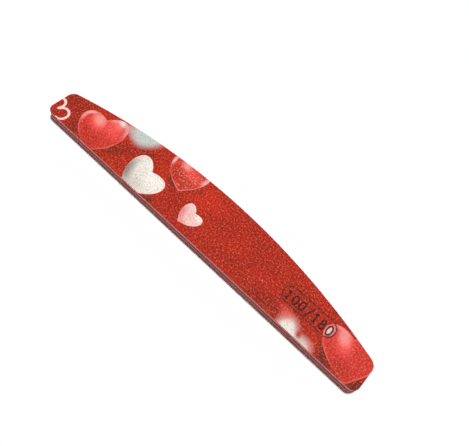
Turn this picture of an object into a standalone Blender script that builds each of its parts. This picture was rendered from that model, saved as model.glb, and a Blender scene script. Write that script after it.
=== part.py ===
"""A half-moon nail file, modelled as the nine flat layers it is pressed from.

Metres, +Z up. The file lies on its plain abrasive face, printed face up. The origin is under the
middle of its bounding box, +X runs along the file, and +Y points from its straight edge to its
curved edge.
"""

import math

import bmesh
import bpy

# Outline of the file, seen from above
FILE_LENGTH = 0.178
FILE_WIDTH = 0.027
END_WIDTH = 0.0145
END_LEAN = math.radians(2.0)
STRAIGHT_CORNER_RADIUS = 0.0032
CURVED_CORNER_RADIUS = 0.0040

# Thickness of the layers, and the clearance between one layer and the next
SHEET_THICKNESS = 0.00045
FILM_THICKNESS = 0.00010
FOAM_THICKNESS = 0.00140
CORE_THICKNESS = 0.00125
LAYER_CLEARANCE = 0.00002

# Cut edges: how far a layer stands back from the outline, and how its edge is shaped
SHEET_RIM_RADIUS = 0.00012
FILM_SETBACK = 0.00030
FOAM_SETBACK = 0.00006
FOAM_PINCH = 0.00014
CORE_RIM_BREAK = 0.00008

# Straight steps that stand for each curve, and the angle above which an edge looks sharp
CURVED_EDGE_STEPS = 36
CORNER_STEPS = 6
RIM_STEPS = 3
PINCH_STEPS = 4
SHARP_ANGLE = math.radians(40.0)

# Colour, roughness and metallic value of each finish
PRINTED_GRIT = ((0.42, 0.025, 0.018), 0.75, 0.0)
PLAIN_GRIT = ((0.80, 0.80, 0.78), 0.85, 0.0)
CORE_PLASTIC = ((0.42, 0.035, 0.12), 0.45, 0.0)
FOAM = ((0.80, 0.50, 0.55), 0.90, 0.0)
ADHESIVE = ((0.72, 0.62, 0.52), 0.35, 0.0)


def direction(angle):
    """Unit vector at an angle from +X."""
    return math.cos(angle), math.sin(angle)


def curved_edge_circle(end_foot):
    """Centre height and radius of the circle through the top of the file and both end corners."""
    half_chord = end_foot - END_WIDTH * math.tan(END_LEAN)
    rise = FILE_WIDTH - END_WIDTH
    radius = (half_chord**2 + rise**2) / (2 * rise)
    return FILE_WIDTH - radius, radius


def curved_corner_centre(end_foot, circle_height, circle_radius):
    """Centre of the arc that touches the leaning end and, from inside, the curved edge's circle."""
    out_x, out_y = direction(END_LEAN)
    start_x = end_foot - CURVED_CORNER_RADIUS * out_x
    start_y = -CURVED_CORNER_RADIUS * out_y
    rise = start_y - circle_height
    reach = circle_radius - CURVED_CORNER_RADIUS
    along = rise * out_x - start_x * out_y
    climb = math.sqrt(along**2 - start_x**2 - rise**2 + reach**2) - along
    return start_x - climb * out_y, start_y + climb * out_x


def arc(centre, radius, angles, steps):
    """Points along an arc, anticlockwise, both its ends among them."""
    first, last = angles
    turns = [direction(first + (last - first) * step / steps) for step in range(steps + 1)]
    return [(centre[0] + radius * x, centre[1] + radius * y) for x, y in turns]


def mirrored(points):
    """The same stretch of outline on the file's other end, still anticlockwise."""
    return [(-x, y) for x, y in reversed(points)]


def outline(setback):
    """Points of the file's outline, drawn in from its cut edge by the setback."""
    out_x, out_y = direction(END_LEAN)
    straight_centre = (FILE_LENGTH / 2 - STRAIGHT_CORNER_RADIUS, STRAIGHT_CORNER_RADIUS)
    end_foot = straight_centre[0] + STRAIGHT_CORNER_RADIUS * (1 + out_y) / out_x
    circle_height, circle_radius = curved_edge_circle(end_foot)
    curved_centre = curved_corner_centre(end_foot, circle_height, circle_radius)
    meeting = math.atan2(curved_centre[1] - circle_height, curved_centre[0])
    end = arc(straight_centre, STRAIGHT_CORNER_RADIUS - setback, (-math.pi / 2, END_LEAN), CORNER_STEPS)
    end += arc(curved_centre, CURVED_CORNER_RADIUS - setback, (END_LEAN, meeting), CORNER_STEPS)
    span = (meeting, math.pi - meeting)
    curved = arc((0.0, circle_height), circle_radius - setback, span, CURVED_EDGE_STEPS)
    points = end + curved[1:-1] + mirrored(end)
    return [(x, y - FILE_WIDTH / 2) for x, y in points]


def finish(name, colour, roughness, metallic):
    """One plain material."""
    material = bpy.data.materials.new(name)
    material.use_nodes = True
    shader = material.node_tree.nodes["Principled BSDF"]
    shader.inputs["Base Color"].default_value = (*colour, 1.0)
    shader.inputs["Roughness"].default_value = roughness
    shader.inputs["Metallic"].default_value = metallic
    return material


def layer(name, rings, look):
    """One closed layer whose wall passes through the rings, each a (setback, height), lowest first."""
    shape = bmesh.new()
    loops = []
    for setback, height in rings:
        ring = [shape.verts.new((x, y, height)) for x, y in outline(setback)]
        loops.append([shape.edges.new(pair) for pair in zip(ring, ring[1:] + ring[:1])])
    for low, high in zip(loops, loops[1:]):
        bmesh.ops.bridge_loops(shape, edges=low + high)
    for face_edges in (loops[0], loops[-1]):
        bmesh.ops.edgenet_fill(shape, edges=face_edges)
    bmesh.ops.recalc_face_normals(shape, faces=shape.faces)
    mesh = bpy.data.meshes.new(name)
    shape.to_mesh(mesh)
    shape.free()
    mesh.shade_smooth()
    mesh.set_sharp_from_angle(angle=SHARP_ANGLE)
    mesh.materials.append(finish(name, *look))
    body = bpy.data.objects.new(name, mesh)
    bpy.context.scene.collection.objects.link(body)
    return body


def rolled_rim():
    """The (setback, drop) steps of a filing face's rim, rolled over by the cutting die."""
    turns = [direction(math.pi / 2 * step / RIM_STEPS) for step in range(RIM_STEPS + 1)]
    return [(SHEET_RIM_RADIUS * (1 - x), SHEET_RIM_RADIUS * (1 - y)) for x, y in turns]


def upward_sheet(name, bottom, look):
    """Abrasive paper whose filing face is on top."""
    top = bottom + SHEET_THICKNESS
    rim = [(setback, top - drop) for setback, drop in rolled_rim()]
    return layer(name, [(0.0, bottom), *rim], look)


def downward_sheet(name, bottom, look):
    """Abrasive paper whose filing face is underneath."""
    rim = [(setback, bottom + drop) for setback, drop in reversed(rolled_rim())]
    return layer(name, [*rim, (0.0, bottom + SHEET_THICKNESS)], look)


def adhesive_film(name, bottom):
    """Double-sided film, a little smaller than what it joins."""
    rings = [(FILM_SETBACK, bottom), (FILM_SETBACK, bottom + FILM_THICKNESS)]
    return layer(name, rings, ADHESIVE)


def foam_cushion(name, bottom):
    """Foam whose cut wall is drawn in between its two bonded faces."""
    shares = [step / PINCH_STEPS for step in range(PINCH_STEPS + 1)]
    setbacks = [FOAM_SETBACK + FOAM_PINCH * math.sin(math.pi * share) for share in shares]
    heights = [bottom + FOAM_THICKNESS * share for share in shares]
    return layer(name, list(zip(setbacks, heights)), FOAM)


def core_board(name, bottom):
    """Stiff plastic board with both sharp edges broken."""
    top = bottom + CORE_THICKNESS
    lower_rim = [(CORE_RIM_BREAK, bottom), (0.0, bottom + CORE_RIM_BREAK)]
    upper_rim = [(0.0, top - CORE_RIM_BREAK), (CORE_RIM_BREAK, top)]
    return layer(name, lower_rim + upper_rim, CORE_PLASTIC)


def layer_bottoms(thicknesses):
    """Height of each layer's lower face, when they are stacked from the ground up."""
    heights = [0.0]
    for thickness in thicknesses[:-1]:
        heights.append(heights[-1] + thickness + LAYER_CLEARANCE)
    return heights


def nail_file():
    """All the layers, from the plain abrasive sheet up to the printed one."""
    half_stack = [SHEET_THICKNESS, FILM_THICKNESS, FOAM_THICKNESS, FILM_THICKNESS]
    bottoms = layer_bottoms([*half_stack, CORE_THICKNESS, *reversed(half_stack)])
    downward_sheet("plain_abrasive_sheet", bottoms[0], PLAIN_GRIT)
    adhesive_film("lower_sheet_film", bottoms[1])
    foam_cushion("lower_foam", bottoms[2])
    adhesive_film("lower_core_film", bottoms[3])
    core_board("core_board", bottoms[4])
    adhesive_film("upper_core_film", bottoms[5])
    foam_cushion("upper_foam", bottoms[6])
    adhesive_film("upper_sheet_film", bottoms[7])
    upward_sheet("printed_abrasive_sheet", bottoms[8], PRINTED_GRIT)


for leftover in list(bpy.data.objects):
    bpy.data.objects.remove(leftover, do_unlink=True)

nail_file()
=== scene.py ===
"""A half-moon nail file: printed and plain abrasive faces over foam cushions and a stiff core.

Every length is in metres. The file lies on its plain face, +X runs along it, and +Y points from its
straight edge to its curved edge.
"""

import math
from functools import partialmethod, reduce

import bpy
import numpy as np
from bpy.props import FloatProperty, FloatVectorProperty, PointerProperty
from bpy.types import Operator, Panel, PropertyGroup
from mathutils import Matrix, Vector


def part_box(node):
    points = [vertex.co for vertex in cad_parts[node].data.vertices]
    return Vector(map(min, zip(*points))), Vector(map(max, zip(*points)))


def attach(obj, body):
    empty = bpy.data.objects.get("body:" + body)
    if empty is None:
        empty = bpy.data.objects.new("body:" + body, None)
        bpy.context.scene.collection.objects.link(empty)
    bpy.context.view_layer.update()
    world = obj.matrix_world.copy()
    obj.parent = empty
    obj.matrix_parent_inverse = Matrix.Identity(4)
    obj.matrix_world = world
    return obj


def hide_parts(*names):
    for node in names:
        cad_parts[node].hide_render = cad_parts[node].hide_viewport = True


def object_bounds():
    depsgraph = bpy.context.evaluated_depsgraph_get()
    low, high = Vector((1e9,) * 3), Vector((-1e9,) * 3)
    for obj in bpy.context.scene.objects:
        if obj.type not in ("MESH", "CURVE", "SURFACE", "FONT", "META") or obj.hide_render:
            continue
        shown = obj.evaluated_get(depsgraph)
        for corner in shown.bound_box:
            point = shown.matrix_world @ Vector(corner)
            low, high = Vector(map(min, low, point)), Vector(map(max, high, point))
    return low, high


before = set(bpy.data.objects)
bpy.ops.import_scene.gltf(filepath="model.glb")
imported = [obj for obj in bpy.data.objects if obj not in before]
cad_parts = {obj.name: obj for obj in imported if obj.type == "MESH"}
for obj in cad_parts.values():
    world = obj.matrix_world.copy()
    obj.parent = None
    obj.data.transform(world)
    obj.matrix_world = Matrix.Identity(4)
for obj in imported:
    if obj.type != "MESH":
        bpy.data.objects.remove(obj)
CAD_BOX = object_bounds()

bl_info = {
    "name": "Half-Moon Nail File",
    "version": (1, 0, 0),
    "blender": (4, 5, 0),
    "location": "View3D > Sidebar > Nail File",
    "description": "Builds the abrasive faces, foam cushions and core of a half-moon nail file",
    "category": "Add Mesh",
}

MM = 0.001
FILE_LENGTH, FILE_WIDTH, _ = (float(high - low) for low, high in zip(*CAD_BOX))
FILE_BOTTOM = float(CAD_BOX[0][2])

# Points that a corner and the curved edge are worked out with, and how many corner radii from each end
# the columns of a piece crowd together
CORNER_POINTS = 400
CURVE_POINTS = 2000
CROWDED_REACH = 1.05

# Levels of a rolled rim, how far down the sheet's cut wall has another loop, as a share of its
# thickness, the levels of a foam wall, and the angle above which an edge looks sharp
RIM_LEVELS = 4
WALL_SHARE = 0.6
FOAM_LEVELS = 9
SHARP_ANGLE = math.radians(50.0)

# Heights along each side of the table of random hills, and the number that each piece's draws start from
HILLS = 256
PRINTED_SEED = 11
PLAIN_SEED = 41
FOAM_SEED = 71

# Distance between the turns of the ragged edge, heights above the file's bottom where the painted shade
# near the floor on the foam ends and where it is full, and how far the floor lies below the file
RAGGED_PITCH = 0.5 * MM
DUST_END, DUST_FULL = 2.2 * MM, 0.7 * MM
FLOOR_GAP = 0.06 * MM

# Tilt of the main lamp, width of the camera's sensor in millimetres, and the nearest that it sees
LAMP_TILT = (math.radians(-8.0), math.radians(3.0), 0.0)
SENSOR_WIDTH = 36.0
CLIP_START = 1.0 * MM

# Tints of the grain on the red face and of the painted glints on its shiny grains, the painted highlight on
# the grey face's crinkle crests with the tints of its grain, and the light that the floor throws back
RED_SHADE, RED_LIGHT, RED_GLINT = (0.29, 0.25, 0.21), (0.80, 0.15, 0.085), (1.0, 0.85, 0.78)
GREY_CREASE, GREY_SHADE, GREY_LIGHT = (0.98, 0.98, 0.98), (0.20, 0.20, 0.20), (0.95, 0.95, 0.94)
FLOOR_LIGHT, WHITE = (0.48, 0.35, 0.33), (1.0, 1.0, 1.0)

# Hearts of size 1: how far the middle of each lobe's ellipse stands from the axis, its tilt and half
# width, how far the foot's point lies below it, and the radius of the circle that fills the neck
HEART_FORMS = {
    "full": (0.275, math.radians(53.5), 0.632, 0.988, 0.5),
    "wide": (0.279, math.radians(49.7), 0.587, 0.981, 0.5),
    "slim": (0.240, math.radians(50.4), 0.590, 0.947, 0.5),
    "round": (0.826, math.radians(94.1), 0.932, 2.100, 1.25),
}

# Bars of each figure, from point to point, and its ovals, by centre and half axes, from -1 to 1
FIGURES = {
    "1": ([((0, -1), (0, 1)), ((-0.34, 0.66), (0, 1)), ((-0.3, -1), (0.3, -1))], []),
    "0": ([], [((0, 0), (0.52, 1))]),
    "8": ([], [((0, 0.52), (0.4, 0.48)), ((0, -0.48), (0.5, 0.52))]),
    "/": ([((-0.35, -1.15), (0.42, 1.15))], []),
}


def light_of(red, green, blue):
    """The light that a screen colour from 0 to 255 stands for, as linear red, green and blue."""
    shares = (level / 255.0 for level in (red, green, blue))
    return tuple(s / 12.92 if s <= 0.04045 else ((s + 0.055) / 1.055) ** 2.4 for s in shares)


def label_of(name):
    """The label of the socket that holds a value of that name."""
    return name.replace("_", " ").title()


def length_of(name, description, default):
    """A length that the user may change."""
    return FloatProperty(
        name=name, description=description, default=default, min=0.0, precision=5, unit="LENGTH"
    )


def angle_of(name, description, degrees):
    """An angle that the user may change."""
    return FloatProperty(name=name, description=description, default=math.radians(degrees), subtype="ANGLE")


def colour_of(name, description, *levels):
    """A colour that the user may change, given as on a screen."""
    return FloatVectorProperty(
        name=name, description=description, default=light_of(*levels), min=0.0, max=1.0, subtype="COLOR"
    )


def amount_of(name, description, default):
    """A plain number that the user may change."""
    return FloatProperty(name=name, description=description, default=default, min=0.0)


class NailFileShape(PropertyGroup):
    """Outline of the file and the form of its cut edges."""

    length: length_of("Length", "End to end", FILE_LENGTH)
    width: length_of("Width", "Straight edge to the top of the curved edge", FILE_WIDTH)
    end_width: length_of("End Width", "Width that the curved edge runs down to", 0.0145)
    end_lean: angle_of("End Lean", "How far both ends lean in towards the curved edge", 2.0)
    straight_corner: length_of("Straight Corner", "Corner radius at the straight edge", 0.0032)
    curved_corner: length_of("Curved Corner", "Corner radius at the curved edge", 0.0040)
    rim_radius: length_of("Rim Radius", "Roll that the cutting die leaves on a filing face", 0.00012)
    raggedness: length_of("Raggedness", "How far the cut edge of the paper wanders", 0.00003)
    foam_setback: length_of("Foam Setback", "How far the foam stands back from the outline", 0.00006)
    foam_pinch: length_of("Foam Pinch", "How far the cut foam is drawn in halfway up", 0.00014)
    core_break: length_of("Core Edge Break", "Width of the broken edges of the core", 0.00008)


class NailFileSurface(PropertyGroup):
    """Relief of the faces and walls, and how finely they are worked out."""

    face_step: length_of("Face Step", "Distance between the points of a filing face", 0.00026)
    wall_step: length_of("Wall Step", "Distance between the points of a foam or core wall", 0.0003)
    grain_pitch: length_of("Grain Pitch", "Distance between lumps of grain", 0.00055)
    grain_height: length_of("Grain Height", "Half height of the lumps of grain", 0.000022)
    crinkle_pitch: length_of("Crinkle Pitch", "Distance between the crinkles of the paper", 0.0008)
    crinkle_length: length_of("Crinkle Length", "Length of a crinkle across the file", 0.0015)
    printed_crinkle: length_of("Printed Crinkle", "Half height of the printed face's crinkles", 0.000016)
    plain_crinkle: length_of("Plain Crinkle", "Half height of the plain face's crinkles", 0.00004)
    cell_pitch: length_of("Cell Pitch", "Distance between the cells of the foam", 0.00022)
    cell_depth: length_of("Cell Depth", "Depth of the cut cells in the foam's wall", 0.00003)


class NailFileColours(PropertyGroup):
    """Colours of the print and of each layer."""

    ground: colour_of("Ground", "Red that the face is printed with", 171, 34, 9)
    ground_shade: colour_of("Ground Shade", "Darker red beside the hearts", 118, 36, 18)
    ground_light: colour_of("Ground Light", "Brighter red in the open places", 200, 44, 17)
    ground_bright: colour_of("Ground Bright", "Brightest red, between the hearts", 208, 44, 22)
    ink: colour_of("Ink", "Figures and the line round them", 34, 20, 16)
    gloss_red: colour_of("Gloss Red", "Body of the glossy hearts", 214, 58, 46)
    gloss_deep: colour_of("Gloss Deep", "Tips of the glossy hearts", 190, 46, 30)
    gloss_bright: colour_of("Gloss Bright", "Vivid red round the shine", 255, 86, 80)
    gloss_light: colour_of("Gloss Light", "Shine on the glossy hearts", 252, 160, 152)
    gloss_rim: colour_of("Gloss Rim", "Bright line round the glossy hearts", 236, 100, 88)
    pearl: colour_of("Pearl", "White hearts", 243, 234, 221)
    pearl_light: colour_of("Pearl Light", "Brightest places of the white hearts", 255, 250, 239)
    pearl_shade: colour_of("Pearl Shade", "Shaded side of the white hearts", 146, 141, 138)
    blush: colour_of("Blush", "Small pale pink heart", 252, 207, 200)
    blush_deep: colour_of("Blush Deep", "Deeper side of the small heart", 240, 140, 142)
    mist: colour_of("Mist", "Blurred grey-green heart", 203, 210, 203)
    halo: colour_of("Halo", "Blurred edge of the soft hearts", 196, 74, 90)
    haze: colour_of("Haze", "Haze between a glossy heart and the blurred one", 224, 170, 166)
    chalk: colour_of("Chalk", "Drawn outline of a heart", 255, 222, 214)
    glitter: colour_of("Glitter", "Dots scattered on a glossy heart", 255, 205, 164)
    printed_paper: colour_of("Printed Paper", "Cut edge of the red paper", 220, 160, 152)
    # Grey paper's cut edge: its own grey-brown darkened further as painted shade, since that edge lies at
    # the floor; the glue films' dust takes this colour too
    paper: colour_of("Paper", "Cut edge of the grey paper", 150, 114, 98)
    plain_grit: colour_of("Plain Grit", "Plain abrasive face", 238, 238, 237)
    # Grey of the plain face, used as painted shade in the crinkles' hollows, as its faint clouds and as the
    # stain of the die marks on its paper edge
    plain_shade: colour_of("Plain Shade", "Hollows of the plain abrasive face", 199, 200, 200)
    foam: colour_of("Foam", "Foam cushions", 250, 194, 200)
    # Deeper foam tone, used as painted shade in the cut cells' hollows, for the die marks, and as the
    # core's faint clouds
    foam_deep: colour_of("Foam Deep", "Cells of the foam", 208, 138, 148)
    # Painted shade: the colour the foam darkens to towards the file's bottom, where the floor shades it
    foam_dust: colour_of("Foam Dust", "Grey-brown dust on the lower foam", 174, 110, 108)
    core: colour_of("Core", "Plastic core", 150, 26, 76)
    core_deep: colour_of("Core Deep", "Scores in the cut core", 116, 20, 60)
    glue: colour_of("Glue", "Glue films", 214, 196, 184)


class NailFileStudio(PropertyGroup):
    """Camera and light."""

    eye: FloatVectorProperty(
        name="Eye", description="Place of the camera", precision=5, subtype="TRANSLATION",
        default=(0.0616235, -0.0886973, 0.2148027),
    )
    turn: FloatVectorProperty(
        name="Turn", description="Turn of the camera", subtype="EULER",
        default=[math.radians(angle) for angle in (26.5829, -6.9984, 42.9874)],
    )
    lens: amount_of("Lens", "Focal length in millimetres, on a sensor 36 mm wide", 42.853)
    sky: amount_of("Sky", "Strength of the light from all round, at the horizon", 3.3)
    sky_colour: colour_of("Sky Colour", "Colour of the light from all round", 255, 214, 190)
    key: amount_of("Key", "Strength of the main lamp", 3.08)
    key_colour: colour_of("Key Colour", "Colour of the main lamp", 247, 251, 255)
    key_spread: angle_of("Key Spread", "Angle that the main lamp fills", 8.0)
    floor_size: length_of("Floor Size", "Side of the floor", 6.0)


def settings():
    """The four groups of settings: shape, surface, colours and studio."""
    return [getattr(bpy.context.scene, name) for name in GROUPS]


def arc_run(centre, radius, first, last, count):
    """Rows of x, y and outward normal on an arc: centre plus radius times the unit vector of each angle."""
    angle = np.linspace(first, last, count)
    normal = np.stack([np.cos(angle), np.sin(angle)], axis=1)
    return np.concatenate([np.array(centre) + radius * normal, normal], axis=1)


def half_edges(shape):
    """The right halves of the straight and the curved edge, each from the middle to the leaning end.

    The straight edge is a line, then an arc that turns it into the end. The curved edge is an arc
    through the top of the file and both end corners, then a smaller arc that touches it from inside
    and runs into the end. y is counted from the straight edge here.
    """
    lean = shape.end_lean
    out_x, out_y = math.cos(lean), math.sin(lean)
    low_centre = (shape.length / 2 - shape.straight_corner, shape.straight_corner)
    foot = low_centre[0] + shape.straight_corner * (1 + out_y) / out_x
    half_chord = foot - shape.end_width * math.tan(lean)
    rise = shape.width - shape.end_width
    radius = (half_chord**2 + rise**2) / (2 * rise)
    height = shape.width - radius
    start_x = foot - shape.curved_corner * out_x
    start_y = -shape.curved_corner * out_y - height
    along = start_y * out_x - start_x * out_y
    reach = radius - shape.curved_corner
    climb = math.sqrt(along**2 - start_x**2 - start_y**2 + reach**2) - along
    high_centre = (start_x - climb * out_y, start_y + height + climb * out_x)
    meeting = math.atan2(high_centre[1] - height, high_centre[0])
    straight = np.array([[0.0, 0.0, 0.0, -1.0]])
    low_corner = arc_run(low_centre, shape.straight_corner, -math.pi / 2, lean, CORNER_POINTS)
    curved = arc_run((0.0, height), radius, math.pi / 2, meeting, CURVE_POINTS)
    high_corner = arc_run(high_centre, shape.curved_corner, meeting, lean, CORNER_POINTS)
    low = np.concatenate([straight, low_corner])
    high = np.concatenate([curved, high_corner[1:]])
    return foot, low, high


def edge_rows(shape, step):
    """Matching points of the straight and the curved edge, one pair for each column of a piece.

    A column joins the two edges where both are the same share of the way to the leaning end, which is
    x / (foot of the end - y * tan(lean)). Columns are a step apart, and crowd together round the
    corners as the cosine of an even turn. Each row holds x, y and the outward normal.
    """
    foot, low, high = half_edges(shape)
    corner = CROWDED_REACH * max(shape.straight_corner, shape.curved_corner) / foot
    even = np.linspace(0.0, 1.0 - corner, int((1.0 - corner) * foot / step))
    turns = np.linspace(math.pi / 2, 0.0, int(corner * foot * math.pi / 2 / step) + 1)
    shares = np.concatenate([even, 1.0 - corner + corner * np.cos(turns[1:])])
    rows = []
    for edge in (low, high):
        along = edge[:, 0] / (foot - edge[:, 1] * math.tan(shape.end_lean))
        right = np.stack([np.interp(shares, along, edge[:, k]) for k in range(4)], axis=1)
        row = np.concatenate([right[:0:-1] * (-1, 1, -1, 1), right])
        row[:, 1] -= shape.width / 2
        rows.append(row)
    return rows


def outline_loop(low, high, rows):
    """The outline as one loop, anticlockwise: straight edge, right end, curved edge and left end."""
    share = np.linspace(0.0, 1.0, rows + 1)[1:-1, None]
    right = low[-1] + (high[-1] - low[-1]) * share
    left = low[0] + (high[0] - low[0]) * share[::-1]
    return np.concatenate([low, right, high[::-1], left])


def heights_of(node):
    """Bottom and top of a CAD node."""
    return [corner[2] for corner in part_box(node)]


def blank_of(node, shape, step, depth):
    """A piece's matching edges, the rows of points across its ends, its outline, and its bottom and top."""
    low, high = edge_rows(shape, step)
    rows = int(depth / step)
    return low, high, rows, outline_loop(low, high, rows), *heights_of(node)


def drawn_in(rows, setback):
    """Points moved inwards: each point less its normal times the setback."""
    return rows[..., :2] - rows[..., 2:] * np.asarray(setback)[..., None]


def raised(flat, heights):
    """Points of a plane at their heights."""
    return np.concatenate([flat, heights[..., None]], axis=2)


def wall(loop, setbacks, heights):
    """Wall as a function of the place round the outline and the level: drawn-in point and its height."""
    setbacks, heights = np.broadcast_arrays(setbacks, heights, np.zeros((1, len(loop))))[:2]
    return raised(drawn_in(np.broadcast_to(loop, (*setbacks.shape, 4)), setbacks), heights)


def random_hills(x, y, pitch, seed):
    """Hills from -1 to 1: random heights on a lattice of that pitch, eased by 3s^2 - 2s^3 in between."""
    table = np.random.default_rng(seed).uniform(-1.0, 1.0, (HILLS, HILLS))
    across, up = x / pitch[0], y / pitch[1]
    column, row = np.floor(across).astype(int), np.floor(up).astype(int)
    s, t = across - column, up - row
    s, t = s * s * (3 - 2 * s), t * t * (3 - 2 * t)
    left, right, lower, upper = (number % HILLS for number in (column, column + 1, row, row + 1))
    low = table[left, lower] * (1 - s) + table[right, lower] * s
    high = table[left, upper] * (1 - s) + table[right, upper] * s
    return low * (1 - t) + high * t


def crinkles(x, y, surface, seed):
    """Ridges across the file, from -1 to 1: 0.7 (1 - 2 |warped hills|) + 0.3 finer hills."""
    pitch, length = surface.crinkle_pitch, surface.crinkle_length
    bend = pitch * random_hills(x, y, (2.7 * pitch, length), seed)
    wide = random_hills(x + bend, y, (pitch, length), seed + 1)
    fine = random_hills(x - bend, y, (0.55 * pitch, 0.5 * length), seed + 2)
    return 0.7 * (1 - 2 * np.abs(wide)) + 0.3 * fine


def grit_relief(flat, surface, crinkle, seed):
    """Height of an abrasive face above its middle level: crinkles of the paper plus lumps of grain."""
    x, y, pitch = flat[..., 0], flat[..., 1], surface.grain_pitch
    lumps = random_hills(x, y, (pitch, pitch), seed + 5) + random_hills(y, x, (0.6 * pitch,) * 2, seed + 6)
    return crinkle * crinkles(x, y, surface, seed) + 0.5 * surface.grain_height * lumps


def rim_numbers(columns, rows):
    """Numbers of the outline loop's points at the rim of a grid of columns and rows."""
    grid = np.full((columns + 1, rows + 1), -1)
    grid[:, 0] = np.arange(columns + 1)
    grid[-1, 1:-1] = columns + 1 + np.arange(rows - 1)
    grid[::-1, -1] = columns + rows + np.arange(columns + 1)
    grid[0, -2:0:-1] = 2 * columns + rows + 1 + np.arange(rows - 1)
    return grid


def grid_cells(grid):
    """Four-sided cells of a grid of point numbers, anticlockwise."""
    corners = (grid[:-1, :-1], grid[1:, :-1], grid[1:, 1:], grid[:-1, 1:])
    return np.stack(corners, axis=-1).reshape(-1, 4).tolist()


def flat_lid(grid):
    """A hidden flat face: one cell for each column, and one with more corners at each end."""
    middle = np.stack([grid[1:-2, 0], grid[2:-1, 0], grid[2:-1, -1], grid[1:-2, -1]], axis=1).tolist()
    left = [*grid[0, ::-1].tolist(), int(grid[1, 0]), int(grid[1, -1])]
    right = [int(grid[-2, -1]), int(grid[-2, 0]), *grid[-1].tolist()]
    return [*middle, left, right]


def placed(name, data):
    """A new object in the scene."""
    thing = bpy.data.objects.new(name, data)
    bpy.context.scene.collection.objects.link(thing)
    return thing


def closed_shell(name, loops, columns, rows, inner_face=None, downward=False):
    """A closed piece whose wall joins the loops, the first of them round its filing face or upper lid."""
    levels, count = loops.shape[:2]
    points = loops.reshape(-1, 3)
    rim = rim_numbers(columns, rows)
    if inner_face is None:
        faces = flat_lid(rim)
    else:
        grid = rim.copy()
        grid[1:-1, 1:-1] = len(points) + np.arange((columns - 1) * (rows - 1)).reshape(columns - 1, -1)
        points = np.concatenate([points, inner_face[1:-1, 1:-1].reshape(-1, 3)])
        faces = grid_cells(grid)
    around = np.arange(levels * count).reshape(levels, count)
    around = np.concatenate([around, around[:, :1]], axis=1)
    faces += grid_cells(around[::-1].T)
    faces += [face[::-1] for face in flat_lid(rim + (levels - 1) * count)]
    if downward:
        faces = [face[::-1] for face in faces]
    mesh = bpy.data.meshes.new(name)
    mesh.from_pydata(points, [], faces)
    mesh.update()
    mesh.shade_smooth()
    mesh.set_sharp_from_angle(angle=SHARP_ANGLE)
    return placed(name, mesh)


def abrasive_sheet(name, node, crinkle, seed, downward=False):
    """Coated paper: a relief over the filing face, a rolled rim, and a ragged cut wall.

    The face is a grid of columns from the straight to the curved edge, at its level plus the relief.
    Each loop of the rim is the outline drawn in by r - r cos(turn) and lowered by r - r sin(turn).
    """
    shape, surface = settings()[:2]
    low, high, rows, loop, bottom, top = blank_of(node, shape, surface.face_step, shape.width)
    side = 1.0
    if downward:
        bottom, top, side = top, bottom, -1.0
    top -= side * (crinkle + surface.grain_height)
    thickness, radius = abs(top - bottom), shape.rim_radius
    turn = np.linspace(math.pi / 2, 0.0, RIM_LEVELS)[:, None]
    ragged = shape.raggedness * random_hills(loop[:, 0], loop[:, 1], (RAGGED_PITCH, RAGGED_PITCH), seed + 9)
    rolls = radius * (1 - np.cos(turn))
    setbacks = np.concatenate([rolls, [[0.0], [0.0]]]) + 0.5 * (ragged + shape.raggedness)
    drops = np.concatenate([radius * (1 - np.sin(turn)), [[WALL_SHARE * thickness], [thickness]]])
    fade = np.clip(1 - drops / radius, 0.0, 1.0)
    flat = drawn_in(np.broadcast_to(loop, (len(drops), *loop.shape)), setbacks)
    loops = raised(flat, top - side * drops + grit_relief(flat, surface, crinkle, seed) * fade)
    share = np.linspace(0.0, 1.0, rows + 1)[None, :, None]
    lows, highs = (drawn_in(row, radius)[:, None] for row in (low, high))
    face = lows * (1 - share) + highs * share
    face = raised(face, top + grit_relief(face, surface, crinkle, seed))
    return closed_shell(name, loops, len(low) - 1, rows, face, downward)


def foam_wall(name, node, seed):
    """Foam cushion: its wall is drawn in by setback + pinch * sin(pi * share of the height) + cut cells."""
    shape, surface = settings()[:2]
    low, _, rows, loop, bottom, top = blank_of(node, shape, surface.wall_step, shape.end_width)
    share = np.linspace(0.0, 1.0, FOAM_LEVELS)[:, None]
    heights, pitch = top + (bottom - top) * share, surface.cell_pitch
    cells = random_hills(loop[:, 0] + loop[:, 1], heights, (pitch * 1.6, pitch), seed)
    cells = surface.cell_depth * (0.5 + 0.5 * cells) * np.sin(math.pi * share)
    setbacks = shape.foam_setback + shape.foam_pinch * np.sin(math.pi * share) + cells
    return closed_shell(name, wall(loop, setbacks, heights), len(low) - 1, rows)


def core_wall(name, node):
    """Plastic plate whose edges are broken.

    Its wall is drawn in by b, 0.3 b and 0 at 0, 0.3 b and b from either face, b being the break's width.
    """
    shape, surface = settings()[:2]
    low, _, rows, loop, bottom, top = blank_of(node, shape, surface.wall_step, shape.end_width)
    drops = shape.core_break * np.array([[0.0], [0.3], [1.0]])
    setbacks = np.concatenate([drops[::-1], drops])
    heights = np.concatenate([top - drops, bottom + drops[::-1]])
    return closed_shell(name, wall(loop, setbacks, heights), len(low) - 1, rows)


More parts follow.
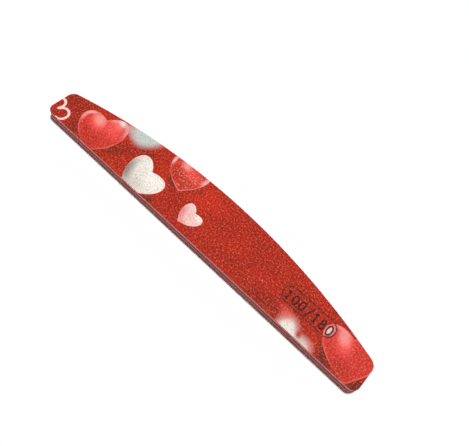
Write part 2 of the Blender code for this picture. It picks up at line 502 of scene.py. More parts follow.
class Wiring:
    """Adds shader nodes to one tree and joins them."""

    def __init__(self, tree):
        self.tree = tree

    def add(self, kind, sockets=None, **choices):
        """A node with its choices made and its sockets fed."""
        node = self.tree.nodes.new(f"ShaderNode{kind}")
        for choice, value in choices.items():
            setattr(node, choice, value)
        for key, value in (sockets or {}).items():
            self.feed(node.inputs[key], value)
        return node

    def feed(self, socket, value):
        """Joins another node's output to a socket, or sets the socket's own value."""
        if isinstance(value, bpy.types.NodeSocket):
            self.tree.links.new(value, socket)
        elif socket.type == "RGBA":
            socket.default_value = (*value[:3], 1.0)
        else:
            socket.default_value = value

    def reckon(self, operation, *values, clamp=False):
        """A Math node's result."""
        return self.add("Math", dict(enumerate(values)), operation=operation, use_clamp=clamp).outputs[0]

    plus = partialmethod(reckon, "ADD")
    minus = partialmethod(reckon, "SUBTRACT")
    times = partialmethod(reckon, "MULTIPLY")
    over = partialmethod(reckon, "DIVIDE")
    larger = partialmethod(reckon, "MAXIMUM")
    smaller = partialmethod(reckon, "MINIMUM")
    size = partialmethod(reckon, "ABSOLUTE")

    def vector(self, operation, *values):
        """A Vector Math node's result, a plain number where the operation gives one."""
        outputs = self.add("VectorMath", dict(enumerate(values)), operation=operation).outputs
        return outputs["Value" if operation in ("LENGTH", "DISTANCE", "DOT_PRODUCT") else "Vector"]

    def blend(self, share, under, over, style="MIX"):
        """One colour over another, by a share from 0 to 1."""
        return self.add("Mix", {0: share, 6: under, 7: over}, data_type="RGBA", blend_type=style).outputs[2]

    def ease(self, value, low, high):
        """0 below the low value, 1 above the high one, and a smooth step between them."""
        return self.add("MapRange", {0: value, 1: low, 2: high}, interpolation_type="SMOOTHSTEP").outputs[0]

    def split(self, vector):
        """x, y and z of a vector."""
        return self.add("SeparateXYZ", {0: vector}).outputs

    def join(self, x, y, z=0.0):
        """A vector from x, y and z."""
        return self.add("CombineXYZ", {0: x, 1: y, 2: z}).outputs[0]

    def channel(self, colour, number):
        """The red, green or blue of a colour, numbered from 0."""
        return self.add("SeparateColor", {0: colour}).outputs[number]

    def noise(self, place, scale, detail=3.0, **others):
        """Cloudy noise, whose other sockets may be named."""
        sockets = {"Vector": place, "Scale": scale, "Detail": detail, **others}
        return self.add("TexNoise", sockets).outputs[0]

    def cells(self, place, scale):
        """Distance to the middle of the nearest cell, and that cell's random colour."""
        return self.add("TexVoronoi", {"Vector": place, "Scale": scale}).outputs

    def turned_back(self, point, turn):
        """A point turned back about the z axis."""
        back = self.times(turn, -1.0)
        return self.add("VectorRotate", {0: point, "Angle": back}, rotation_type="Z_AXIS").outputs[0]

    def use(self, name, place, **sockets):
        """The outputs of an effect's node group placed in the tree."""
        fed = {label_of(socket): value for socket, value in sockets.items()}
        return self.add("Group", {"Place": place, **fed}, node_tree=effect_group(name)).outputs

    def coat(self, shader, colour, height, strength, distance, roughness=None):
        """Feeds a shader its colour, its bump, and its roughness where that varies."""
        self.feed(shader.inputs["Base Color"], colour)
        if roughness is not None:
            self.feed(shader.inputs["Roughness"], roughness)
        bump = self.add("Bump", {"Height": height, "Strength": strength, "Distance": distance})
        self.feed(shader.inputs["Normal"], bump.outputs[0])


def oval_depth(w, point, half_axes):
    """How deep a point lies inside an ellipse: (1 - r) r / |gradient|, where r = |(x / a, y / b)|."""
    scaled = w.vector("DIVIDE", point, half_axes)
    radius = w.vector("LENGTH", scaled)
    slope = w.vector("LENGTH", w.vector("DIVIDE", scaled, half_axes))
    return w.over(w.times(w.minus(1.0, radius), radius), w.larger(slope, 1e-6))


def foot_of(spread, tilt, breadth, point):
    """Foot of a heart: sine and cosine of its half angle, and the height where it touches the ellipse.

    The ellipse is shrunk to a circle of radius 1, where the line from the foot's point touches it at the
    direction of the point plus or minus the angle whose cosine is one over the point's distance.
    """
    cosine, sine = math.cos(tilt), math.sin(tilt)
    along = -spread * cosine - point * sine
    across = (spread * sine - point * cosine) / breadth
    turn = math.atan2(across, along) + math.acos(1.0 / math.hypot(along, across))
    touch_x = spread + cosine * math.cos(turn) - sine * breadth * math.sin(turn)
    touch_y = sine * math.cos(turn) + cosine * breadth * math.sin(turn)
    half_angle = math.atan2(touch_x, touch_y + point)
    return math.sin(half_angle), math.cos(half_angle), touch_y


def notch_of(spread, tilt, breadth):
    """Height of a heart's notch: the upper place where the lobe's ellipse crosses the axis.

    It is the larger root of a v^2 + 2 b v + c = 0, the ellipse's equation for the points (-spread, v).
    """
    cosine, sine = math.cos(tilt), math.sin(tilt)
    square = sine**2 + (cosine / breadth) ** 2
    half = spread * sine * cosine * (1.0 / breadth**2 - 1.0)
    rest = spread**2 * (cosine**2 + (sine / breadth) ** 2) - 1.0
    return (math.sqrt(half**2 - square * rest) - half) / square


def heart_effect(
    w, place, under, centre, turn, size, spread, tilt, breadth, foot, foot_point, neck,
    blur, fill, body, rim, rim_width, rim_blur,
):
    """A printed heart: two mirrored tilted ellipses that meet in the notch, with a pointed foot below them.

    Its depth is the largest of the ellipse's depth, the depth in a circle under the notch, and the
    foot's, which is the distance to the foot's straight side, cut off above where that side touches the
    ellipse.
    """
    own = w.turned_back(w.vector("SUBTRACT", place, centre), turn)
    x, y, _ = w.split(w.vector("DIVIDE", own, w.join(size, size, 1.0)))
    side = w.size(x)
    lobe = w.turned_back(w.join(w.minus(side, spread), y), tilt)
    lobe_depth = oval_depth(w, lobe, w.join(1.0, breadth, 1.0))
    sine, cosine, top = w.split(foot)
    foot_depth = w.minus(w.times(w.plus(y, foot_point), sine), w.times(side, cosine))
    foot_depth = w.smaller(foot_depth, w.minus(top, y))
    height, radius, _ = w.split(neck)
    neck_depth = w.minus(radius, w.vector("DISTANCE", w.join(x, y), w.join(0.0, height)))
    depth = w.times(w.larger(lobe_depth, w.larger(foot_depth, neck_depth)), size)
    half_blur = w.times(blur, 0.5)
    inside = w.ease(depth, w.times(half_blur, -1.0), half_blur)
    edge = w.minus(1.0, w.ease(depth, w.minus(rim_width, rim_blur), rim_width))
    filled = w.blend(w.times(inside, fill), under, body)
    return {"Colour": w.blend(w.times(inside, edge), filled, rim), "Inside": inside, "Depth": depth}


def spot_effect(w, place, under, centre, turn, reach, colour, strength):
    """A soft oval spot: full at its middle, eased to nothing at its reach."""
    own = w.turned_back(w.vector("SUBTRACT", place, centre), turn)
    radius = w.vector("LENGTH", w.vector("DIVIDE", own, reach))
    share = w.times(w.minus(1.0, w.ease(radius, 0.15, 1.0)), strength, clamp=True)
    return {"Colour": w.blend(share, under, colour)}


def bar_effect(w, place, start, end):
    """Distance to a straight stroke: |p - a - h (b - a)|, h being the nearest share of the way."""
    along = w.vector("SUBTRACT", end, start)
    away = w.vector("SUBTRACT", place, start)
    share = w.over(w.vector("DOT_PRODUCT", away, along), w.vector("DOT_PRODUCT", along, along), clamp=True)
    nearest = w.add("VectorMath", {0: along, "Scale": share}, operation="SCALE").outputs[0]
    return {"Distance": w.vector("DISTANCE", away, nearest)}


def oval_effect(w, place, centre, half_axes):
    """Distance to an oval stroke."""
    return {"Distance": w.size(oval_depth(w, w.vector("SUBTRACT", place, centre), half_axes))}


def grain_effect(w, place, pitch):
    """Abrasive grain: light and dark specks of a pitch, finer grains on them, and their height."""
    scale = w.over(1.0, pitch)
    coarse = w.noise(place, scale, 2.0, Roughness=0.7)
    fine = w.cells(place, w.times(scale, 3.1))
    lift = w.plus(coarse, w.times(w.minus(0.45, fine["Distance"]), 0.16))
    chosen = w.ease(w.channel(fine["Color"], 0), 0.93, 0.97)
    return {
        "Light": w.ease(lift, 0.50, 0.72),
        "Dark": w.minus(1.0, w.ease(lift, 0.30, 0.52)),
        "Glint": w.times(chosen, w.ease(lift, 0.45, 0.6)),
        "Height": w.plus(w.times(coarse, 0.6), w.times(lift, 0.4)),
    }


def glitter_effect(w, place, pitch, share):
    """Scattered bright dots: round cells of a pitch, of which only a share is lit."""
    cells = w.cells(place, w.over(1.0, pitch))
    chance = w.channel(cells["Color"], 0)
    lit = w.reckon("LESS_THAN", chance, share)
    dot = w.minus(1.0, w.ease(cells["Distance"], 0.05, 0.40))
    return {"Mask": w.times(w.times(dot, lit), w.over(chance, share))}


def score_effect(w, place, pitch):
    """Marks of the cutting die on a wall: noise drawn out over the height, and its height."""
    x, y, z = w.split(place)
    noise = w.noise(w.join(x, y, w.times(z, 0.08)), w.over(1.0, pitch))
    return {"Mask": w.ease(noise, 0.42, 0.66), "Height": noise}


# Function that wires up each effect, and what it takes after the place
EFFECTS = {
    "printed heart": (
        heart_effect,
        "under centre turn size spread tilt breadth foot foot_point neck "
        "blur fill body rim rim_width rim_blur",
    ),
    "soft spot": (spot_effect, "under centre turn reach colour strength"),
    "straight stroke": (bar_effect, "start end"),
    "oval stroke": (oval_effect, "centre half_axes"),
    "abrasive grain": (grain_effect, "pitch"),
    "glitter": (glitter_effect, "pitch share"),
    "die marks": (score_effect, "pitch"),
}

# Labels of the sockets that hold a vector or a colour, where the others hold a number
VECTORS = ("Place", "Centre", "Foot", "Neck", "Reach", "Start", "End", "Half Axes")
COLOURS = ("Under", "Body", "Rim", "Colour")


def add_sockets(group, side, labels):
    """Gives a node group its sockets, whose kind follows from their labels."""
    for label in labels:
        kind = "Vector" if label in VECTORS else "Color" if label in COLOURS else "Float"
        group.interface.new_socket(name=label, in_out=side, socket_type=f"NodeSocket{kind}")


def effect_group(name):
    """The node group of an effect, made at its first use, with a socket for each value that it takes."""
    if name in bpy.data.node_groups:
        return bpy.data.node_groups[name]
    maker, taken = EFFECTS[name]
    labels = ["Place", *map(label_of, taken.split())]
    group = bpy.data.node_groups.new(name, "ShaderNodeTree")
    add_sockets(group, "INPUT", labels)
    w = Wiring(group)
    results = maker(w, *group.nodes.new("NodeGroupInput").outputs[:len(labels)])
    add_sockets(group, "OUTPUT", results)
    asked = group.nodes.new("NodeGroupOutput").inputs
    for label, value in results.items():
        w.feed(asked[label], value)
    return group


def new_finish(name, roughness, specular):
    """A material with its wiring, its shader and the object's own coordinates."""
    material = bpy.data.materials.new(name)
    material.use_nodes = True
    w = Wiring(material.node_tree)
    shader = material.node_tree.nodes["Principled BSDF"]
    shader.inputs["Roughness"].default_value = roughness
    shader.inputs["Specular IOR Level"].default_value = specular
    return material, w, shader, w.add("TexCoord").outputs["Object"]


def heart(form, x, y, turn, size, body, rim, blur=0.22, fill=1.0, rim_width=0.9, rim_blur=0.8):
    """Sockets of a printed heart whose lengths are given in mm and whose turn in degrees."""
    spread, tilt, breadth, point, neck = HEART_FORMS[form]
    return {
        "centre": (x * MM, y * MM, 0.0), "turn": math.radians(turn), "size": size * MM, "spread": spread,
        "tilt": tilt, "breadth": breadth, "foot": foot_of(spread, tilt, breadth, point),
        "foot_point": point, "neck": (notch_of(spread, tilt, breadth) - neck, neck, 0.0),
        "blur": blur * MM, "fill": fill, "body": body, "rim": rim,
        "rim_width": rim_width * MM, "rim_blur": rim_blur * MM,
    }


def ground_spots(colours):
    """Soft lighter and darker places of the red ground: x, y, turn, reach, colour and strength, in mm."""
    light, shade = colours.ground_light, colours.ground_shade
    return [
        (-8, 6, 0, 16, 9, colours.ground_bright, 0.8), (-27, 4, 30, 9, 14, light, 0.6),
        (-48, -9, 0, 10, 7, light, 0.3), (-53.5, -7, 40, 14, 5.5, shade, 0.65),
        (-74, -11.5, -62, 11, 4.2, shade, 0.75), (-42.3, 3.2, 10, 8, 3, shade, 0.6),
        (-26, -13, 20, 6.5, 2.4, shade, 1), (-24.2, 0.7, -36, 7, 2.6, shade, 0.85),
        (-14, 5.3, 40, 9, 3.2, shade, 0.55), (16, -9, 0, 11, 5, shade, 0.2),
        (39, -10.5, 0, 17, 6, shade, 0.4), (71.8, -11.2, -50, 9, 4.4, shade, 1),
        (86.5, -11, 15, 10, 5, shade, 1), (-82, -1, 10, 13, 8, shade, 0.45),
    ]


def hearts_of(colours):
    """The printed hearts from the bottom up, each with its soft spots of shine and shade, in mm.

    A spot is x, y, turn, reach, colour, strength and manner. Without a manner it fills its oval inside the
    heart, "over" lets it reach beyond, and "sparkle" makes it scattered dots. A pair of lengths makes it a
    band along the heart's edge: how deep the band is strongest, and how far it reaches from there.
    """
    red, rim, shine, deep = colours.gloss_red, colours.gloss_rim, colours.gloss_light, colours.gloss_deep
    white, pearl, shade, blush = colours.pearl, colours.pearl_light, colours.pearl_shade, colours.blush_deep
    ground, mist, halo = colours.ground, colours.mist, colours.halo
    chalk, vivid = colours.chalk, colours.gloss_bright
    return {
        "mist": (heart("slim", -50.8, 20.75, 137, 15.25, mist, halo, 4.8, rim_width=0.8, rim_blur=2.4), [
            (-54.4, 7.6, 22, 4.6, 3, mist, 0.5, "over"), (-53, 5.2, -40, 3.6, 2.8, mist, 0.45, "over"),
        ]),
        "snow": (heart("slim", 56.96, -16.42, -18, 8.25, white, halo, 4.8, rim_width=1.5, rim_blur=3), [
            (50, -8.2, -20, 5.2, 3.8, rim, 0.6, "over"), (60.8, -13, 0, 4.2, 3.2, shade, 0.35),
            (65, -11.6, -50, 3.2, 2.6, rim, 0.45, "over"),
            (58.9, -11.3, -60, 2.6, 1.7, ground, 0.8, "over"),
        ]),
        "glossy left": (heart("full", -63.87, -4.54, 21.8, 10.8, red, rim), [
            (-64.5, -11, 0, 8, 7, deep, 0.8), (-69.5, -7, -60, 8, 4.5, deep, 0.6),
            (-60.8, 0.6, -30, 8, 6, vivid, 0.9), (-68.6, -1.6, -27, 8, 6.2, vivid, 1),
            (-69, -0.4, -27, 5.6, 3.6, shine, 0.9), (-67.9, 1.2, -30, 4, 2.4, shine, 0.4),
            (-75.3, -2, 62, 6.4, 4.4, shine, 1, (1, 1.4)), (-74.6, 0.6, 50, 3.2, 2.4, chalk, 0.5, (1, 1)),
            (-60.6, 4, -20, 5, 3, shine, 0.4), (-62.3, 5.4, 25, 6.5, 3.5, shine, 0.9, (0.8, 1.8)),
            (-60.3, 6, -20, 3.6, 2.4, chalk, 1), (-56.8, 3.8, -70, 6, 4, shine, 0.8, (0.7, 1.8)),
            (-59, 0, 20, 6, 5, shine, 0.9, "sparkle"),
            (-56.4, 6.2, -35, 3.8, 3.2, colours.haze, 0.75, "over"),
        ]),
        "glossy right": (heart("wide", 79.05, -3.05, 23.6, 11.9, red, rim), [
            (79, -11, 0, 8, 7, deep, 0.7), (74.4, -0.9, -52, 8.4, 6.2, vivid, 0.9),
            (73, 0.8, -52, 5.4, 3.9, shine, 0.85), (70.5, 3, -15, 5.5, 4, shine, 0.8, (0.9, 1.5)),
            (66.8, -1.3, 70, 3.6, 2.4, chalk, 0.85),
        ]),
        "glitter": (heart("slim", -21.25, 8.2, 15.6, 9.5, red, shine, rim_width=0.5, rim_blur=0.45), [
            (-20, 5, 0, 8, 6, deep, 0.6), (-26.6, 5.6, -50, 6.5, 5, deep, 0.9),
            (-20.5, 9.8, -20, 8.5, 4.8, vivid, 0.6), (-25, 11.4, -20, 4.4, 3, shine, 0.9),
            (-13, 11.5, 30, 5, 4, chalk, 0.6, (0.7, 2)), (-31.4, 9.8, 75, 4.2, 3, chalk, 0.7, (0.8, 1.2)),
            (-20.5, 7.5, 0, 16, 14, colours.glitter, 1.3, "sparkle"),
        ]),
        "pearl": (heart("slim", -34.75, -7.7, -17.7, 9.8, white, chalk), [
            (-29.6, -4.6, -30, 8.5, 6.5, pearl, 1), (-36.6, -0.2, 20, 7, 4, pearl, 0.8),
            (-41.6, -8.4, 75, 11, 8, shade, 1, (0.2, 5.4)), (-36.5, -11.8, 0, 9, 5, shade, 0.3),
        ]),
        "blush": (heart("slim", -7.05, -5.85, -21.4, 5.4, colours.blush, chalk, rim_width=0.6), [
            (-10.4, -6.6, 70, 6.5, 5, blush, 1, (0.5, 3.8)), (-8.4, -2, 0, 3.2, 2.6, white, 0.4),
            (-7.2, -10.2, -20, 5, 2.4, blush, 0.7), (-3, -3.6, 0, 2.9, 2.7, pearl, 0.8),
        ]),
        "drawn": (heart("round", -85.57, -9.03, -26.3, 3.85, ground, chalk, 0.22, 0, 1.3, 0.25), [
            (-87.9, -12, 0, 4, 2.4, ground, 3, "over"), (-85.35, -8.7, 56.8, 2.1, 1, chalk, 3, "over"),
        ]),
    }


def spotted(w, place, under, x, y, turn, reach_x, reach_y, tone, strength):
    """A colour with a soft spot over it, whose lengths are given in mm and whose turn in degrees."""
    return w.use(
        "soft spot", place, under=under, centre=(x * MM, y * MM, 0.0), turn=math.radians(turn),
        reach=(reach_x * MM, reach_y * MM, 1.0), colour=tone, strength=strength,
    )["Colour"]


def spot_share(w, printed, glitter, strength, manner="whole"):
    """How strong a heart's spot is at each place: its strength, kept to the heart, the band or the dots."""
    if manner == "over":
        return strength
    share = w.times(printed["Inside"], strength)
    if manner == "sparkle":
        return w.times(share, glitter)
    if manner == "whole":
        return share
    level, reach = manner
    away = w.size(w.minus(printed["Depth"], level * MM))
    return w.times(share, w.minus(1.0, w.ease(away, 0.0, reach * MM)))


def printed_hearts(w, place, colours, colour):
    """The colour of the ground with all the hearts printed over it."""
    glitter = w.use("glitter", place, pitch=0.82 * MM, share=0.8)["Mask"]
    for sockets, spots in hearts_of(colours).values():
        printed = w.use("printed heart", place, under=colour, **sockets)
        colour = printed["Colour"]
        for x, y, turn, along, across, tone, strength, *manner in spots:
            share = spot_share(w, printed, glitter, strength, *manner)
            colour = spotted(w, place, colour, x, y, turn, along, across, tone, share)
    return colour


def strokes_of(w, place, figure, x, y, half_height):
    """Distances to the bars and ovals of a figure that is centred on x and y."""
    bars, ovals = FIGURES[figure]

    def put(point):
        return x + point[0] * half_height, y + point[1] * half_height, 0.0

    strokes = [w.use("straight stroke", place, start=put(start), end=put(end))[0] for start, end in bars]
    for centre, half in ovals:
        half_axes = (half[0] * half_height, half[1] * half_height, 1.0)
        strokes.append(w.use("oval stroke", place, centre=put(centre), half_axes=half_axes)[0])
    return strokes


def print_ink(w, place):
    """Share of ink from 0 to 1: grit figures made of bars and ovals, and the line that runs round them."""
    text, half_height, spacing = "100/180", 2.05 * MM, 3.52 * MM
    half_line, half_frame_line, feather, frame_strength = 0.38 * MM, 0.26 * MM, 0.05 * MM, 0.8
    strokes = []
    for number, figure in enumerate(text):
        x = 56.2 * MM + (number - (len(text) - 1) / 2) * spacing
        strokes += strokes_of(w, place, figure, x, -1.35 * MM, half_height)
    figures = w.ease(reduce(w.smaller, strokes), half_line + feather, half_line - feather)
    frame_x, frame_y, frame_half, frame_radius = 55.9 * MM, -1.0 * MM, 9.4 * MM, 3.85 * MM
    ends = [(frame_x + side * frame_half, frame_y, 0.0) for side in (-1, 1)]
    spine = w.use("straight stroke", place, start=ends[0], end=ends[1])[0]
    ring = w.size(w.minus(spine, frame_radius))
    line = w.ease(ring, half_frame_line + feather, half_frame_line - feather)
    return w.larger(figures, w.times(line, frame_strength))


def cut_paper(w, place, clean, stained):
    """Bare paper scored by the cutting die, and how far the scores shift the coating's border."""
    marks = w.use("die marks", place, pitch=0.35 * MM)
    return w.blend(w.times(marks["Mask"], 0.3), clean, stained), w.times(marks["Height"], 0.12 * MM)


def printed_finish(colours, bottom, top):
    """Red abrasive paper printed with hearts and grit figures, its cut edge bare paper."""
    material, w, shader, place = new_finish("printed_grit", roughness=0.62, specular=0.12)
    x, y, z = w.split(place)
    flat = w.join(x, y)
    colour = w.blend(w.ease(w.noise(flat, 90.0), 0.35, 0.7), colours.ground, colours.ground_light)
    colour = w.blend(0.55, colours.ground, colour)
    for spot in ground_spots(colours):
        colour = spotted(w, flat, colour, *spot)
    colour = printed_hearts(w, flat, colours, colour)
    grain = w.use("abrasive grain", place, pitch=0.78 * MM)
    ink = w.times(print_ink(w, flat), w.minus(1.0, w.times(grain["Light"], 0.15)))
    colour = w.blend(w.times(ink, 0.95), colour, colours.ink)
    paleness = w.channel(colour, 1)
    dark_share = w.larger(w.minus(0.76, w.times(paleness, 3.0)), 0.34)
    dark_share = w.times(grain["Dark"], w.plus(dark_share, w.times(paleness, 0.22)))
    colour = w.blend(dark_share, colour, RED_SHADE, "MULTIPLY")
    light_share = w.times(grain["Light"], w.minus(0.78, paleness, clamp=True))
    colour = w.blend(w.times(light_share, w.minus(1.0, w.times(ink, 0.8))), colour, RED_LIGHT)
    # Painted glints: near-white colour laid on the shiny grains, standing in for the light they catch
    colour = w.blend(w.times(grain["Glint"], 0.16), colour, RED_GLINT)
    paper, shift = cut_paper(w, place, colours.printed_paper, colours.ground_shade)
    thickness = top - bottom
    covered = w.ease(w.plus(z, shift), top - 0.22 * thickness, top - 0.10 * thickness)
    roughness = w.minus(0.66, w.times(grain["Glint"], 0.3))
    w.coat(shader, w.blend(covered, paper, colour), grain["Height"], 0.55, 0.09 * MM, roughness)
    return material


def plain_finish(colours, bottom, top):
    """Pale grey abrasive paper: short crinkles with a painted highlight on their crests and painted shade
    in their hollows, faint clouds and a bare paper edge.
    """
    material, w, shader, place = new_finish("plain_grit", roughness=0.72, specular=0.3)
    x, y, z = w.split(place)
    grain = w.use("abrasive grain", place, pitch=0.30 * MM)
    creases = w.noise(w.join(x, w.times(y, 0.5)), 1.0 / (0.8 * MM), 2.0, Distortion=0.5)
    cloud = w.ease(w.noise(w.join(x, y), 60.0), 0.5, 0.75)
    # Painted shade in the crinkles' hollows and a painted highlight on their crests, following the same
    # noise that raises them
    colour = w.blend(w.times(w.ease(creases, 0.53, 0.36), 0.8), colours.plain_grit, colours.plain_shade)
    colour = w.blend(w.times(w.ease(creases, 0.53, 0.66), 0.8), colour, GREY_CREASE)
    colour = w.blend(w.times(cloud, 0.25), colour, colours.plain_shade)
    colour = w.blend(w.times(grain["Dark"], 0.16), colour, GREY_SHADE)
    colour = w.blend(w.times(grain["Light"], 0.35), colour, GREY_LIGHT)
    # The grey paper's edge takes the darkened paper colour, partly its own grey-brown and partly painted
    # shade at the floor
    paper, shift = cut_paper(w, place, colours.paper, colours.plain_shade)
    thickness = top - bottom
    bare = w.ease(w.minus(z, shift), bottom + 0.20 * thickness, bottom + 0.32 * thickness)
    roughness = w.minus(0.78, w.times(grain["Glint"], 0.25))
    height = w.plus(grain["Height"], w.times(creases, 1.2))
    w.coat(shader, w.blend(bare, colour, paper), height, 0.8, 0.09 * MM, roughness)
    return material


def foam_finish(colours, pitch):
    """Closed-cell foam: cut bubbles with painted shade in their hollows, die marks, and painted shade
    darkening it towards the bottom, near the floor.
    """
    material, w, shader, place = new_finish("foam", roughness=0.88, specular=0.1)
    shader.inputs["Sheen Weight"].default_value = 0.15
    cells = w.cells(place, 1.0 / pitch)["Distance"]
    marks = w.use("die marks", place, pitch=2.2 * pitch)
    # Painted shade in the cut cells' hollows, which the bump also sinks
    hollow = w.minus(1.0, w.ease(cells, 0.15, 0.6))
    colour = w.blend(w.times(hollow, 0.55), colours.foam, colours.foam_deep)
    colour = w.blend(w.times(marks["Mask"], 0.25), colour, colours.foam_deep)
    # Painted shade near the floor: the foam darkens from 2.2 mm above the file's bottom down to 0.7 mm
    dusty = w.ease(w.split(place)[2], FILE_BOTTOM + DUST_END, FILE_BOTTOM + DUST_FULL)
    colour = w.blend(w.times(dusty, 0.7), colour, colours.foam_dust)
    w.coat(shader, colour, w.plus(cells, w.times(marks["Height"], 0.5)), 0.5, 0.05 * MM)
    return material


def core_finish(colours):
    """Crimson plastic, scored by the cutting die."""
    material, w, shader, place = new_finish("core_plastic", roughness=0.46, specular=0.15)
    marks = w.use("die marks", place, pitch=0.28 * MM)
    cloud = w.ease(w.noise(place, 300.0), 0.5, 0.75)
    colour = w.blend(w.times(marks["Mask"], 0.6), colours.core, colours.core_deep)
    colour = w.blend(w.times(cloud, 0.25), colour, colours.foam_deep)
    w.coat(shader, colour, marks["Height"], 0.5, 0.05 * MM, w.plus(0.36, w.times(marks["Mask"], 0.22)))
    return material


def glue_finish(colours):
    """Milky film, with dust caught on its edge."""
    material, w, shader, place = new_finish("glue_film", roughness=0.4, specular=0.5)
    dust = w.noise(place, 1.0 / (0.8 * MM), 4.0)
    share = w.times(w.ease(dust, 0.45, 0.7), 0.6)
    colour = w.blend(share, colours.glue, colours.paper)
    w.coat(shader, colour, dust, 0.4, 0.03 * MM, w.plus(0.35, w.times(share, 0.5)))
    return material


def seen_share(w):
    """1 for what the camera sees, straight or by way of a mirror or glass, and 0 for light on its way."""
    path = w.add("LightPath").outputs
    return w.larger(path["Is Camera Ray"], w.larger(path["Is Glossy Ray"], path["Is Transmission Ray"]))


def floor_finish():
    """White floor that keeps its shadows, and that throws less light back up than it shows."""
    material, w, shader, _ = new_finish("studio_floor", roughness=0.9, specular=0.0)
    w.feed(shader.inputs["Base Color"], w.blend(seen_share(w), FLOOR_LIGHT, WHITE))
    return material


def studio_sky(strength, colour):
    """Light from all round, strongest at the horizon, and seen as plain white behind the floor."""
    world = bpy.context.scene.world or bpy.data.worlds.new("studio")
    bpy.context.scene.world = world
    world.use_nodes = True
    w = Wiring(world.node_tree)
    shown = seen_share(w)
    height = w.split(w.add("TexCoord").outputs["Generated"])[2]
    light = w.times(strength, w.reckon("POWER", w.minus(1.0, w.larger(height, 0.0)), 6.0))
    background = world.node_tree.nodes["Background"]
    w.feed(background.inputs["Color"], w.blend(shown, colour, WHITE))
    w.feed(background.inputs["Strength"], w.plus(light, w.times(shown, w.minus(1.0, light))))


def settle(piece, node, material):
    """Gives a finished piece its material and its body, and hides the CAD node that it stands for."""
    piece.data.materials.append(material)
    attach(piece, "root")
    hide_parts(node)


class NAILFILE_OT_printed_face(Operator):
    """Add the abrasive sheet with the red print"""

    bl_idname = "nail_file.printed_face"
    bl_label = "Printed Face"
    bl_options = {"REGISTER", "UNDO"}

    def execute(self, context):
        _, surface, colours, _ = settings()
        node = "printed_abrasive_sheet"
        piece = abrasive_sheet("printed_grit_sheet", node, surface.printed_crinkle, PRINTED_SEED)
        settle(piece, node, printed_finish(colours, *heights_of(node)))
        return {"FINISHED"}


class NAILFILE_OT_plain_face(Operator):
    """Add the plain pale grey abrasive sheet"""

    bl_idname = "nail_file.plain_face"
    bl_label = "Plain Face"
    bl_options = {"REGISTER", "UNDO"}

    def execute(self, context):
        _, surface, colours, _ = settings()
        node = "plain_abrasive_sheet"
        piece = abrasive_sheet("plain_grit_sheet", node, surface.plain_crinkle, PLAIN_SEED, downward=True)
        settle(piece, node, plain_finish(colours, *heights_of(node)))
        return {"FINISHED"}


class NAILFILE_OT_cushions(Operator):
    """Add the two foam cushions"""

    bl_idname = "nail_file.cushions"
    bl_label = "Foam Cushions"
    bl_options = {"REGISTER", "UNDO"}

    def execute(self, context):
        _, surface, colours, _ = settings()
        material = foam_finish(colours, surface.cell_pitch)
        for seed, node in enumerate(("upper_foam", "lower_foam"), start=FOAM_SEED):
            piece = foam_wall(f"{node}_cushion", node, seed)
            settle(piece, node, material)
        return {"FINISHED"}


class NAILFILE_OT_core(Operator):
    """Add the stiff plastic core"""

    bl_idname = "nail_file.core"
    bl_label = "Core"
    bl_options = {"REGISTER", "UNDO"}

    def execute(self, context):
        colours = settings()[2]
        settle(core_wall("core_plate", "core_board"), "core_board", core_finish(colours))
        return {"FINISHED"}


class NAILFILE_OT_glue_films(Operator):
    """Give the four glue films their finish"""

    bl_idname = "nail_file.glue_films"
    bl_label = "Glue Films"
    bl_options = {"REGISTER", "UNDO"}

    def execute(self, context):
        material = glue_finish(settings()[2])
        for name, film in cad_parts.items():
            if name.endswith("_film"):
                film.material_slots[0].material = material
        return {"FINISHED"}


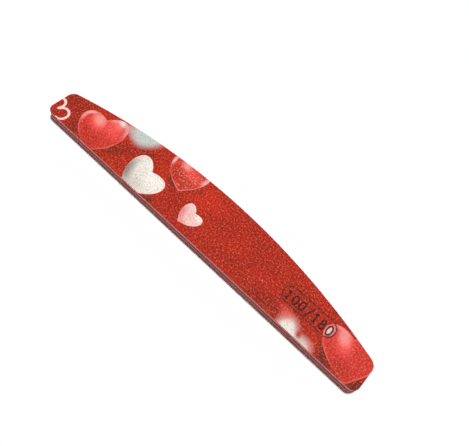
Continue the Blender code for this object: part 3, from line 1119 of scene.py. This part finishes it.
class NAILFILE_OT_studio(Operator):
    """Add the floor, the light and the camera"""

    bl_idname = "nail_file.studio"
    bl_label = "Studio"
    bl_options = {"REGISTER", "UNDO"}

    def execute(self, context):
        studio = settings()[3]
        half, level = studio.floor_size / 2, FILE_BOTTOM - FLOOR_GAP
        corners = [(-half, -half, level), (half, -half, level), (half, half, level), (-half, half, level)]
        mesh = bpy.data.meshes.new("studio_floor")
        mesh.from_pydata(corners, [], [(0, 1, 2, 3)])
        mesh.materials.append(floor_finish())
        floor = placed("studio_floor", mesh)
        lamp = bpy.data.lights.new("key_lamp", "SUN")
        lamp.energy, lamp.angle, lamp.color = studio.key, studio.key_spread, studio.key_colour
        placed("key_lamp", lamp).rotation_euler = LAMP_TILT
        studio_sky(studio.sky, studio.sky_colour)
        lens = bpy.data.cameras.new("studio_camera")
        lens.lens, lens.sensor_width, lens.clip_start = studio.lens, SENSOR_WIDTH, CLIP_START
        camera = placed("studio_camera", lens)
        camera.location, camera.rotation_euler = studio.eye, studio.turn
        bpy.context.scene.camera = camera
        bpy.context.scene.view_settings.view_transform = "Standard"
        return {"FINISHED"}


STEPS = (
    NAILFILE_OT_printed_face,
    NAILFILE_OT_plain_face,
    NAILFILE_OT_cushions,
    NAILFILE_OT_core,
    NAILFILE_OT_glue_films,
    NAILFILE_OT_studio,
)
GROUPS = {
    "nail_file_shape": NailFileShape,
    "nail_file_surface": NailFileSurface,
    "nail_file_colours": NailFileColours,
    "nail_file_studio": NailFileStudio,
}


class NAILFILE_PT_sidebar(Panel):
    """Steps that build the nail file, and its settings"""

    bl_label = "Nail File"
    bl_idname = "NAILFILE_PT_sidebar"
    bl_space_type = "VIEW_3D"
    bl_region_type = "UI"
    bl_category = "Nail File"

    def draw(self, context):
        for step in STEPS:
            self.layout.operator(step.bl_idname)
        for name, group in GROUPS.items():
            box = self.layout.box()
            for label in group.__annotations__:
                box.prop(getattr(context.scene, name), label)


def register():
    """Makes the settings, the steps and the panel known to Blender."""
    for name, group in GROUPS.items():
        bpy.utils.register_class(group)
        setattr(bpy.types.Scene, name, PointerProperty(type=group))
    for item in (*STEPS, NAILFILE_PT_sidebar):
        bpy.utils.register_class(item)


def unregister():
    """Takes them away again."""
    for item in (NAILFILE_PT_sidebar, *reversed(STEPS)):
        bpy.utils.unregister_class(item)
    for name, group in reversed(list(GROUPS.items())):
        delattr(bpy.types.Scene, name)
        bpy.utils.unregister_class(group)


def main():
    """Builds the file step by step."""
    register()
    for step in STEPS:
        group, name = step.bl_idname.split(".")
        getattr(getattr(bpy.ops, group), name)()


if __name__ == "__main__":
    main()
